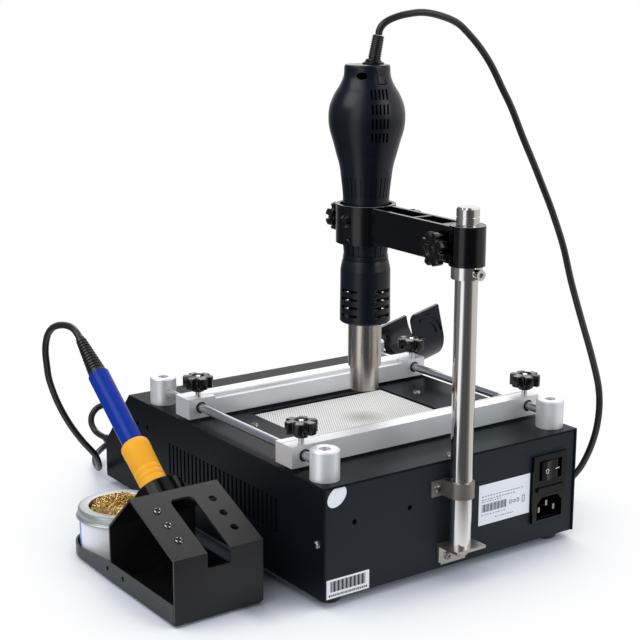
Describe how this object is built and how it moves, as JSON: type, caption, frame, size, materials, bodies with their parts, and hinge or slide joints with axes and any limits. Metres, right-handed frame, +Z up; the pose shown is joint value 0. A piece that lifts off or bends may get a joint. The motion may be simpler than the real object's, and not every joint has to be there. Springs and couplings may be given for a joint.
{
  "type": "soldering rework station",
  "caption": "Preheating rework station with a ceramic heating plate, sliding board holder, hot-air gun on a swivel arm, corded soldering iron and a stand beside it.",
  "frame": {"origin": "centre of the chassis footprint, on the surface that the station stands on", "axes": "+Z up; -Y towards the sloped control panel; +Y towards the rear panel with the mains inlet and the rod; +X towards the iron stand"},
  "size_m": [0.3633, 0.3769, 0.3714],
  "materials": {
    "black_sheet": "fine powder coat",
    "black_plastic": "moulded, satin",
    "gloss_black": "smooth",
    "soft_rubber": "matte",
    "bare_steel": "brushed",
    "bright_steel": "polished",
    "bare_aluminium": "satin",
    "plate_ceramic": "smooth",
    "tube_ceramic": "fired",
    "wool_brass": "curled",
    "contact_brass": "bright",
    "window_red": "tinted",
    "board_green": "laminate",
    "core_steel": "varnished",
    "handle_blue": "smooth",
    "grip_yellow": "soft",
    "tin_steel": "bright",
    "dark_steel": "powder coat"
  },
  "bodies": {
    "station": {"base_tray": "black_sheet", "casing_cover": "black_sheet", "front_panel": "black_sheet", "rear_panel": "black_sheet", "rubber_feet": "soft_rubber", "heater_pan": "bare_steel", "heater_tubes": "tube_ceramic", "ceramic_plate": "plate_ceramic", "transformer": "core_steel", "control_board": "board_green", "display_windows": "window_red", "corner_posts": "bare_aluminium", "guide_rods": "bright_steel", "steel_screws": "bright_steel", "inlet_module": "gloss_black", "inlet_pins": "contact_brass", "rod_bracket": "bare_steel", "rod_clip": "bare_steel", "gun_cradle": "black_plastic", "gun_gland": "soft_rubber", "iron_socket": "bare_steel", "gun_cord": "soft_rubber", "stand_tray": "dark_steel", "stand_housing": "dark_steel", "stand_cup": "black_plastic", "spare_tips": "bright_steel", "iron_cord": "soft_rubber", "iron_plug": "black_plastic"},
    "mast": {"upright_rod": "bright_steel"},
    "collar": {"stop_collar": "bare_steel"},
    "arm": {"gun_arm": "black_plastic", "gun_handle": "black_plastic", "gun_relief": "soft_rubber", "gun_guard": "black_plastic", "gun_barrel": "bare_steel"},
    "nozzle": {"gun_nozzle": "bare_steel"},
    "fan": {"gun_fan": "black_plastic"},
    "rod_knob": {"rod_knob": "black_plastic"},
    "ring_knob": {"ring_knob": "black_plastic"},
    "nose_knob": {"nose_knob": "black_plastic"},
    "rear_bar": {"rear_clamp_bar": "bare_aluminium"},
    "front_bar": {"front_clamp_bar": "bare_aluminium"},
    "clamp_knob_1": {"clamp_knob_1": "black_plastic"},
    "clamp_knob_2": {"clamp_knob_2": "black_plastic"},
    "clamp_knob_3": {"clamp_knob_3": "black_plastic"},
    "clamp_knob_4": {"clamp_knob_4": "black_plastic"},
    "rocker": {"mains_rocker": "gloss_black"},
    "drawer": {"fuse_drawer": "gloss_black"},
    "dial_1": {"panel_dial_1": "black_plastic"},
    "dial_2": {"panel_dial_2": "black_plastic"},
    "dial_3": {"panel_dial_3": "black_plastic"},
    "dial_4": {"panel_dial_4": "black_plastic"},
    "switch_1": {"panel_switch_1": "gloss_black"},
    "switch_2": {"panel_switch_2": "gloss_black"},
    "iron": {"iron_tube": "handle_blue", "iron_grip": "grip_yellow", "iron_relief": "soft_rubber", "iron_barrel": "bright_steel"},
    "tin": {"cleaning_tin": "tin_steel", "brass_wool": "wool_brass"}
  },
  "joints": [
    {"name": "mast_swivel", "type": "hinge", "parent": "station", "child": "mast", "pos_m": [0.005, 0.1575, 0.024], "axis": [0, 0, 1], "range_deg": [-40, 40], "deforming": ["gun_cord"]},
    {"name": "collar_slide", "type": "slide", "parent": "mast", "child": "collar", "axis": [0, 0, 1], "range_m": [-0.12, 0]},
    {"name": "arm_lift", "type": "slide", "parent": "mast", "child": "arm", "axis": [0, 0, 1], "range_m": [0, 0.008], "deforming": ["gun_cord"]},
    {"name": "nozzle_slide", "type": "slide", "parent": "arm", "child": "nozzle", "axis": [0, 0, -1], "range_m": [0, 0.016]},
    {"name": "fan_spin", "type": "hinge", "parent": "arm", "child": "fan", "pos_m": [0.00005, 0.04401, 0.2925], "axis": [0, 0, 1], "continuous": true},
    {"name": "rod_knob_turn", "type": "hinge", "parent": "arm", "child": "rod_knob", "pos_m": [0.01598, 0.14301, 0.2238], "axis": [0.999, -0.0436, 0], "range_deg": [0, 360]},
    {"name": "ring_knob_turn", "type": "hinge", "parent": "arm", "child": "ring_knob", "pos_m": [-0.01006, 0.07848, 0.2268], "axis": [-0.999, 0.0436, 0], "range_deg": [0, 360]},
    {"name": "nose_knob_turn", "type": "hinge", "parent": "arm", "child": "nose_knob", "pos_m": [-0.00113, 0.01703, 0.2255], "axis": [-0.0436, -0.999, 0], "range_deg": [0, 360]},
    {"name": "rear_bar_slide", "type": "slide", "parent": "station", "child": "rear_bar", "axis": [0, 1, 0], "range_m": [-0.05, 0.012]},
    {"name": "front_bar_slide", "type": "slide", "parent": "station", "child": "front_bar", "axis": [0, 1, 0], "range_m": [-0.025, 0.055]},
    {"name": "clamp_knob_1_turn", "type": "hinge", "parent": "rear_bar", "child": "clamp_knob_1", "pos_m": [0.098, 0.1063, 0.1048], "axis": [0, 0, 1], "range_deg": [0, 360]},
    {"name": "clamp_knob_2_turn", "type": "hinge", "parent": "rear_bar", "child": "clamp_knob_2", "pos_m": [-0.098, 0.1063, 0.1048], "axis": [0, 0, 1], "range_deg": [0, 360]},
    {"name": "clamp_knob_3_turn", "type": "hinge", "parent": "front_bar", "child": "clamp_knob_3", "pos_m": [0.098, -0.024, 0.1048], "axis": [0, 0, 1], "range_deg": [0, 360]},
    {"name": "clamp_knob_4_turn", "type": "hinge", "parent": "front_bar", "child": "clamp_knob_4", "pos_m": [-0.098, -0.024, 0.1048], "axis": [0, 0, 1], "range_deg": [0, 360]},
    {"name": "mains_rocker_tilt", "type": "hinge", "parent": "station", "child": "rocker", "pos_m": [-0.084, 0.1475, 0.0572], "axis": [0, 0, 1], "range_deg": [-16, 0]},
    {"name": "fuse_drawer_slide", "type": "slide", "parent": "station", "child": "drawer", "axis": [0, 1, 0], "range_m": [0, 0.018]},
    {"name": "panel_dial_1_turn", "type": "hinge", "parent": "station", "child": "dial_1", "pos_m": [-0.066, -0.13667, 0.04856], "axis": [0, -0.7536, 0.6574], "range_deg": [-150, 150]},
    {"name": "panel_dial_2_turn", "type": "hinge", "parent": "station", "child": "dial_2", "pos_m": [-0.018, -0.13667, 0.04856], "axis": [0, -0.7536, 0.6574], "range_deg": [-150, 150]},
    {"name": "panel_dial_3_turn", "type": "hinge", "parent": "station", "child": "dial_3", "pos_m": [0.018, -0.13667, 0.04856], "axis": [0, -0.7536, 0.6574], "range_deg": [-150, 150]},
    {"name": "panel_dial_4_turn", "type": "hinge", "parent": "station", "child": "dial_4", "pos_m": [0.066, -0.13667, 0.04856], "axis": [0, -0.7536, 0.6574], "range_deg": [-150, 150]},
    {"name": "panel_switch_1_tilt", "type": "hinge", "parent": "station", "child": "switch_1", "pos_m": [-0.042, -0.13667, 0.04856], "axis": [1, 0, 0], "range_deg": [-16, 0]},
    {"name": "panel_switch_2_tilt", "type": "hinge", "parent": "station", "child": "switch_2", "pos_m": [0.042, -0.13667, 0.04856], "axis": [1, 0, 0], "range_deg": [-16, 0]},
    {"name": "iron_lift", "type": "slide", "parent": "station", "child": "iron", "axis": [0, -0.7986, 0.6018], "range_m": [0, 0.09], "deforming": ["iron_cord"]},
    {"name": "tin_lift", "type": "slide", "parent": "station", "child": "tin", "axis": [0, 0, 1], "range_m": [0, 0.025]}
  ]
}
